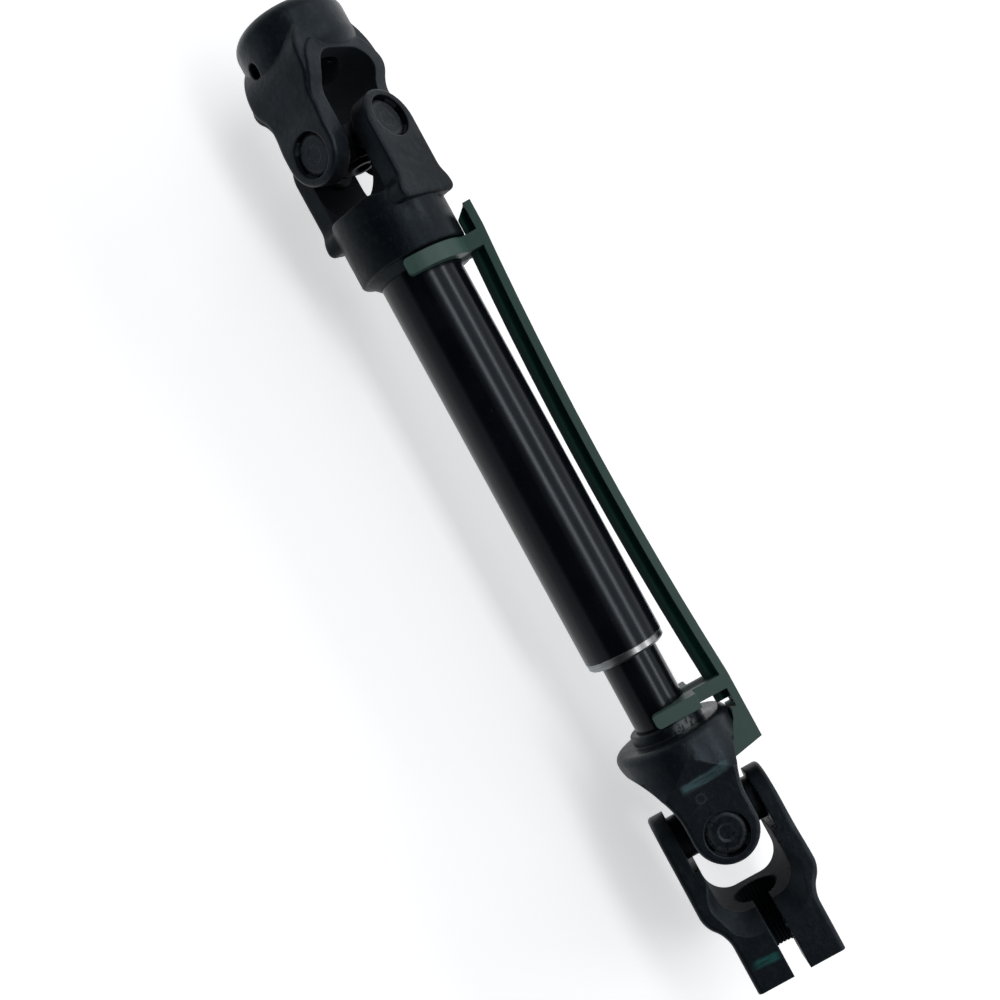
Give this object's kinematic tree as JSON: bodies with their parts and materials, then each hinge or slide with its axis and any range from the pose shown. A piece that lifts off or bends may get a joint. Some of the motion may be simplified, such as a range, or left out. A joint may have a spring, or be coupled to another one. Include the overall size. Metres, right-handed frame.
{
  "type": "intermediate steering shaft",
  "caption": "Telescoping steering shaft with a universal joint at each end, a round socket yoke, a slotted clamp yoke and a plastic retaining clip.",
  "frame": {"origin": "centre of the column bore's mouth, on the top face of the upper yoke's socket", "axes": "+X along the shaft towards the clamp yoke, +Y towards the retaining clip, +Z towards the open side of the clamp slot"},
  "size_m": [0.3755, 0.053, 0.051],
  "materials": {
    "forging_black": "satin black coat on forged steel",
    "cup_steel": "satin black coat over drawn cups",
    "seal_rubber": "matte",
    "bearing_steel": "ground",
    "cross_steel": "oiled dark steel",
    "tube_black": "semi-gloss black with a bare steel end",
    "shaft_black": "semi-gloss black",
    "sleeve_plastic": "matte",
    "clip_plastic": "satin dark green"
  },
  "bodies": {
    "tube": {"outer_tube": "tube_black", "tube_yoke": "forging_black", "tube_yoke_cup_a": "cup_steel", "tube_yoke_cup_b": "cup_steel", "tube_yoke_seal_a": "seal_rubber", "tube_yoke_seal_b": "seal_rubber", "tube_yoke_needles": "bearing_steel"},
    "upper_cross": {"upper_cross": "cross_steel"},
    "upper_yoke": {"upper_yoke": "forging_black", "upper_yoke_cup_a": "cup_steel", "upper_yoke_cup_b": "cup_steel", "upper_yoke_seal_a": "seal_rubber", "upper_yoke_seal_b": "seal_rubber", "upper_yoke_needles": "bearing_steel"},
    "shaft": {"inner_shaft": "shaft_black", "spline_sleeve": "sleeve_plastic", "lower_shaft_yoke": "forging_black", "lower_shaft_yoke_cup_a": "cup_steel", "lower_shaft_yoke_cup_b": "cup_steel", "lower_shaft_yoke_seal_a": "seal_rubber", "lower_shaft_yoke_seal_b": "seal_rubber", "lower_shaft_yoke_needles": "bearing_steel"},
    "lower_cross": {"lower_cross": "cross_steel"},
    "clamp_yoke": {"clamp_yoke": "forging_black", "clamp_yoke_cup_a": "cup_steel", "clamp_yoke_cup_b": "cup_steel", "clamp_yoke_seal_a": "seal_rubber", "clamp_yoke_seal_b": "seal_rubber", "clamp_yoke_needles": "bearing_steel"},
    "clip": {"retaining_clip": "clip_plastic"}
  },
  "joints": [
    {"name": "upper_cross_on_tube", "type": "hinge", "parent": "tube", "child": "upper_cross", "pos_m": [0.0509, 0, 0], "axis": [0, 0.766, 0.6428], "range_deg": [-25, 25]},
    {"name": "upper_yoke_on_cross", "type": "hinge", "parent": "upper_cross", "child": "upper_yoke", "pos_m": [0.0509, 0, 0], "axis": [0, -0.6428, 0.766], "range_deg": [-25, 25]},
    {"name": "shaft_slide", "type": "slide", "parent": "tube", "child": "shaft", "axis": [1, 0, 0], "range_m": [0, 0.035]},
    {"name": "lower_cross_on_shaft", "type": "hinge", "parent": "shaft", "child": "lower_cross", "pos_m": [0.3214, 0, 0], "axis": [0, 0, 1], "range_deg": [-25, 15]},
    {"name": "clamp_yoke_on_cross", "type": "hinge", "parent": "lower_cross", "child": "clamp_yoke", "pos_m": [0.3214, 0, 0], "axis": [0, 1, 0], "range_deg": [-25, 25]},
    {"name": "clip_off", "type": "slide", "parent": "shaft", "child": "clip", "axis": [0, 1, 0], "range_m": [0, 0.06]}
  ]
}
